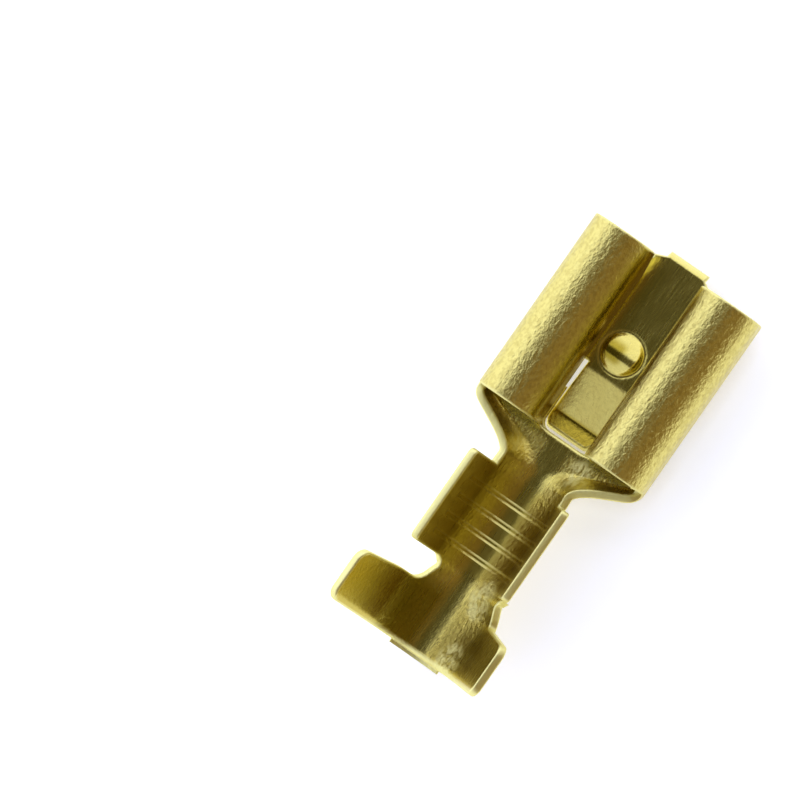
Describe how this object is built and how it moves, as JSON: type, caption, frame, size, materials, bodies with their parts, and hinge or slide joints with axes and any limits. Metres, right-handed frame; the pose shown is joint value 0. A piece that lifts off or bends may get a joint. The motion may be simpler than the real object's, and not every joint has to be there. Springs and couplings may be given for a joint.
{
  "type": "female spade terminal",
  "caption": "Folded brass terminal with a rolled tab receptacle, a locking lance and open crimp barrels for a wire and its jacket.",
  "frame": {"origin": "centre of the bounding box's underside, below the lowest edge of the lance", "axes": "+Y out of the tab mouth along the tab's way in, +Z out of the open side of the crimp barrels, +X across"},
  "size_m": [0.0078, 0.0186, 0.0049],
  "materials": {
    "brass": "satin mill finish with fine lengthwise rolling grain"
  },
  "bodies": {
    "root": {"terminal": "brass"}
  },
  "joints": []
}
